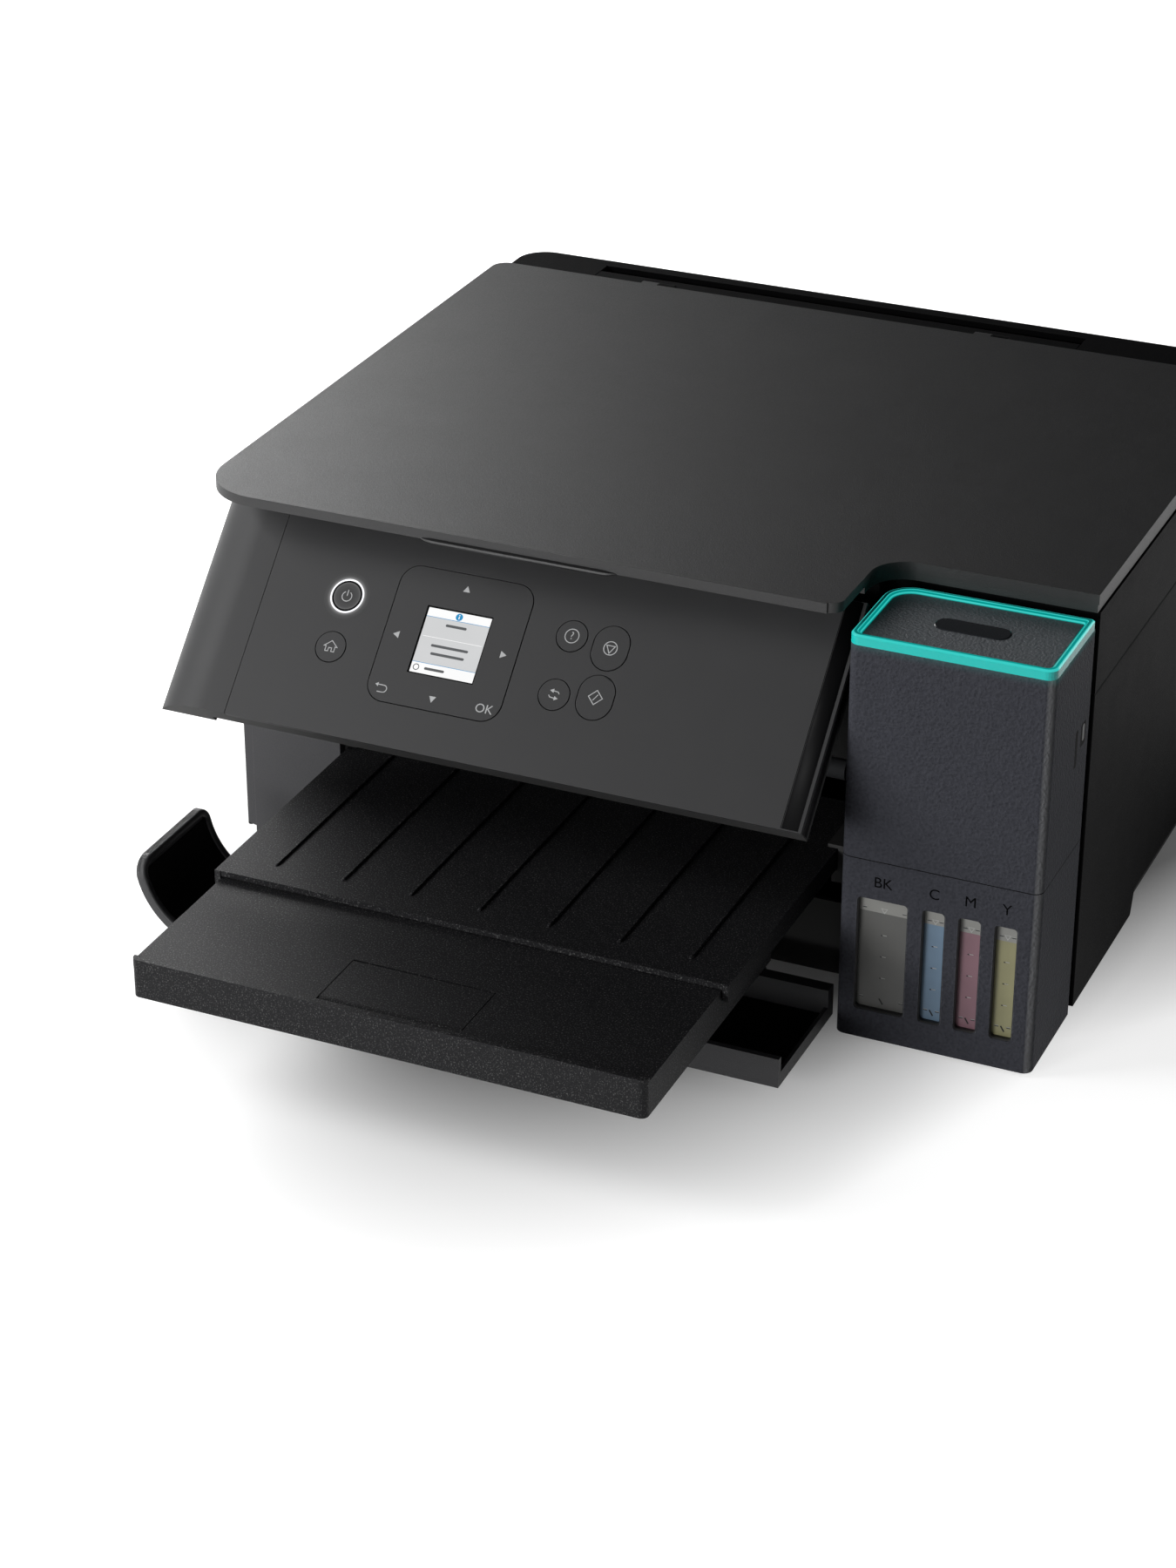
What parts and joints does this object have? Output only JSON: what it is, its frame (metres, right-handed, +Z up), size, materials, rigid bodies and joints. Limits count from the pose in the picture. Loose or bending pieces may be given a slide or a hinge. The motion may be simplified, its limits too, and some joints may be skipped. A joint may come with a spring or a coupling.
{
  "type": "inkjet printer",
  "caption": "All-in-one inkjet printer with flatbed scanner, tilting control panel, fold-down front door, pull-out output tray and refillable ink tanks at the front right.",
  "frame": {"origin": "bottom centre of the bounding box of the printer as it stands printing, with its panel raised, its front door down and its output tray pulled out", "axes": "+X to the right as seen from the front, +Y to the back, +Z up"},
  "size_m": [0.371, 0.487, 0.1874],
  "materials": {
    "cover_black": "fine matt grain, injection moulded",
    "lid_grain": "fine leather-like grain, matt",
    "panel_black": "smooth satin",
    "tank_grey": "pebble grain, blue-grey",
    "ring_teal": "translucent, glossy",
    "inner_black": "fine spark-eroded texture",
    "inner_grey": "moulded",
    "white_plastic": "smooth acetal",
    "tank_clear": "translucent polypropylene",
    "steel": "zinc-plated sheet",
    "shaft": "ground and plated",
    "brass": "turned",
    "rubber_black": "matt",
    "rubber_grey": "matt",
    "glass": "float glass, clear",
    "screen": "display behind clear cover",
    "light_white": "translucent diffuser",
    "pad_white": "white film on foam",
    "board_green": "solder resist",
    "cap_black": "soft moulded",
    "cap_cyan": "soft moulded",
    "cap_magenta": "soft moulded",
    "cap_yellow": "soft moulded",
    "tube_clear": "silicone"
  },
  "bodies": {
    "chassis": {"base_tray": "inner_black", "rubber_feet": "rubber_black", "left_side_cover": "cover_black", "right_side_cover": "cover_black", "rear_cover": "cover_black", "left_front_pillar": "cover_black", "front_frame": "inner_black", "tray_rails": "inner_black", "main_frame": "steel", "guide_shaft": "shaft", "platen": "inner_black", "timing_belt": "rubber_black", "drive_motors": "steel", "capping_station": "inner_black", "waste_ink_box": "inner_grey", "circuit_board": "board_green", "power_supply": "inner_black", "rear_sockets": "inner_black", "tank_lower_cover": "tank_grey", "ink_reservoirs": "tank_clear", "filler_deck": "inner_black", "ink_tubes": "tube_clear", "feed_frame": "inner_black"},
    "scanner_unit": {"scanner_base": "cover_black", "scanner_top": "cover_black", "scanner_glass": "glass"},
    "scan_head": {"cis_bar": "inner_black"},
    "document_lid": {"lid_shell": "lid_grain", "lid_pad": "pad_white"},
    "control_panel": {"panel_face": "panel_black", "panel_shell": "panel_black", "lcd_module": "screen", "power_light_ring": "light_white"},
    "key_power": {"key_power": "panel_black"},
    "key_home": {"key_home": "panel_black"},
    "nav_pad": {"nav_pad": "panel_black"},
    "key_help": {"key_help": "panel_black"},
    "key_copy": {"key_copy": "panel_black"},
    "key_stop": {"key_stop": "panel_black"},
    "key_start": {"key_start": "panel_black"},
    "front_door": {"front_door": "cover_black"},
    "output_tray": {"output_tray": "cover_black"},
    "tray_extension": {"tray_extension": "cover_black"},
    "tray_stopper": {"tray_stopper": "cover_black"},
    "cap_black": {"cap_black": "cap_black"},
    "cap_cyan": {"cap_cyan": "cap_cyan"},
    "cap_magenta": {"cap_magenta": "cap_magenta"},
    "cap_yellow": {"cap_yellow": "cap_yellow"},
    "carriage": {"carriage": "inner_black"},
    "feed_roller": {"feed_roller": "rubber_grey"},
    "exit_roller": {"exit_roller": "rubber_grey"},
    "idler_gear": {"idler_gear": "white_plastic"},
    "motor_pinion": {"motor_pinion": "brass"},
    "drive_pulley": {"drive_pulley": "brass"},
    "idler_pulley": {"idler_pulley": "white_plastic"},
    "pickup_roller": {"pickup_roller": "rubber_grey"},
    "feed_cover": {"feed_cover": "cover_black"},
    "paper_support": {"paper_support": "cover_black"},
    "tank_cover": {"tank_cover": "tank_grey", "light_ring": "ring_teal"}
  },
  "joints": [
    {"name": "scanner_lift", "type": "hinge", "parent": "chassis", "child": "scanner_unit", "pos_m": [0, 0.2045, 0.173], "axis": [-1, 0, 0], "range_deg": [0, 35]},
    {"name": "scan_travel", "type": "slide", "parent": "scanner_unit", "child": "scan_head", "axis": [1, 0, 0], "range_m": [0, 0.27]},
    {"name": "lid_hinge", "type": "hinge", "parent": "scanner_unit", "child": "document_lid", "pos_m": [0, 0.204, 0.1835], "axis": [-1, 0, 0], "range_deg": [0, 80]},
    {"name": "panel_tilt", "type": "hinge", "parent": "chassis", "child": "control_panel", "pos_m": [0, -0.0786, 0.1419], "axis": [1, 0, 0], "range_deg": [0, 45.5]},
    {"name": "power_press", "type": "slide", "parent": "control_panel", "child": "key_power", "axis": [0, 0.7133, -0.7009], "range_m": [0, 0.0008], "stiffness_N_per_m": 300, "springref_m": -0.002},
    {"name": "home_press", "type": "slide", "parent": "control_panel", "child": "key_home", "axis": [0, 0.7133, -0.7009], "range_m": [0, 0.0008], "stiffness_N_per_m": 300, "springref_m": -0.002},
    {"name": "nav_pad_press", "type": "slide", "parent": "control_panel", "child": "nav_pad", "axis": [0, 0.7133, -0.7009], "range_m": [0, 0.0008], "stiffness_N_per_m": 600, "springref_m": -0.002},
    {"name": "help_press", "type": "slide", "parent": "control_panel", "child": "key_help", "axis": [0, 0.7133, -0.7009], "range_m": [0, 0.0008], "stiffness_N_per_m": 300, "springref_m": -0.002},
    {"name": "copy_press", "type": "slide", "parent": "control_panel", "child": "key_copy", "axis": [0, 0.7133, -0.7009], "range_m": [0, 0.0008], "stiffness_N_per_m": 300, "springref_m": -0.002},
    {"name": "stop_press", "type": "slide", "parent": "control_panel", "child": "key_stop", "axis": [0, 0.7133, -0.7009], "range_m": [0, 0.0008], "stiffness_N_per_m": 300, "springref_m": -0.002},
    {"name": "start_press", "type": "slide", "parent": "control_panel", "child": "key_start", "axis": [0, 0.7133, -0.7009], "range_m": [0, 0.0008], "stiffness_N_per_m": 300, "springref_m": -0.002},
    {"name": "door_fold", "type": "hinge", "parent": "chassis", "child": "front_door", "pos_m": [0, -0.0855, 0.013], "axis": [-1, 0, 0], "range_deg": [0, 18]},
    {"name": "tray_slide", "type": "slide", "parent": "chassis", "child": "output_tray", "axis": [0, -1, 0], "range_m": [-0.09, 0]},
    {"name": "extension_slide", "type": "slide", "parent": "output_tray", "child": "tray_extension", "axis": [0, -1, 0], "range_m": [-0.068, 0]},
    {"name": "stopper_flip", "type": "hinge", "parent": "tray_extension", "child": "tray_stopper", "pos_m": [-0.024, -0.2355, 0.0549], "axis": [1, 0, 0], "range_deg": [0, 70]},
    {"name": "tank_cover_hinge", "type": "hinge", "parent": "chassis", "child": "tank_cover", "pos_m": [0.1445, -0.0515, 0.1714], "axis": [-1, 0, 0], "range_deg": [0, 70]},
    {"name": "cap_black_hinge", "type": "hinge", "parent": "chassis", "child": "cap_black", "pos_m": [0.1216, -0.0535, 0.0982], "axis": [-1, 0, 0], "range_deg": [0, 85]},
    {"name": "cap_cyan_hinge", "type": "hinge", "parent": "chassis", "child": "cap_cyan", "pos_m": [0.1427, -0.0535, 0.0982], "axis": [-1, 0, 0], "range_deg": [0, 85]},
    {"name": "cap_magenta_hinge", "type": "hinge", "parent": "chassis", "child": "cap_magenta", "pos_m": [0.1575, -0.0535, 0.0982], "axis": [-1, 0, 0], "range_deg": [0, 85]},
    {"name": "cap_yellow_hinge", "type": "hinge", "parent": "chassis", "child": "cap_yellow", "pos_m": [0.1723, -0.0535, 0.0982], "axis": [-1, 0, 0], "range_deg": [0, 85]},
    {"name": "carriage_travel", "type": "slide", "parent": "chassis", "child": "carriage", "axis": [-1, 0, 0], "range_m": [0, 0.246]},
    {"name": "drive_pulley_turn", "type": "hinge", "parent": "chassis", "child": "drive_pulley", "pos_m": [0.165, 0.0905, 0.118], "axis": [0, 1, 0], "continuous": true},
    {"name": "idler_pulley_turn", "type": "hinge", "parent": "chassis", "child": "idler_pulley", "pos_m": [-0.165, 0.0905, 0.118], "axis": [0, 1, 0], "continuous": true},
    {"name": "feed_roller_turn", "type": "hinge", "parent": "chassis", "child": "feed_roller", "pos_m": [0, 0.0755, 0.0667], "axis": [1, 0, 0], "continuous": true},
    {"name": "idler_gear_turn", "type": "hinge", "parent": "chassis", "child": "idler_gear", "pos_m": [-0.155, 0.0379, 0.0667], "axis": [1, 0, 0], "continuous": true},
    {"name": "exit_roller_turn", "type": "hinge", "parent": "chassis", "child": "exit_roller", "pos_m": [0, 0.0003, 0.0667], "axis": [1, 0, 0], "continuous": true},
    {"name": "motor_pinion_turn", "type": "hinge", "parent": "chassis", "child": "motor_pinion", "pos_m": [-0.155, 0.0915, 0.0667], "axis": [1, 0, 0], "continuous": true},
    {"name": "pickup_roller_turn", "type": "hinge", "parent": "chassis", "child": "pickup_roller", "pos_m": [0, 0.1625, 0.074], "axis": [1, 0, 0], "continuous": true},
    {"name": "feed_cover_hinge", "type": "hinge", "parent": "chassis", "child": "feed_cover", "pos_m": [-0.024, 0.2285, 0.17745], "axis": [-1, 0, 0], "range_deg": [0, 105]},
    {"name": "support_slide", "type": "slide", "parent": "chassis", "child": "paper_support", "axis": [0, 0.4226, 0.9063], "range_m": [0, 0.075]}
  ],
  "couplings": [
    {"joint": "drive_pulley_turn", "follows": "carriage_travel", "rad_per_m": 147.06},
    {"joint": "idler_pulley_turn", "follows": "carriage_travel", "rad_per_m": 147.06},
    {"joint": "idler_gear_turn", "follows": "feed_roller_turn", "ratio": -0.42424},
    {"joint": "exit_roller_turn", "follows": "feed_roller_turn", "ratio": 1},
    {"joint": "motor_pinion_turn", "follows": "feed_roller_turn", "ratio": -2.3333}
  ]
}
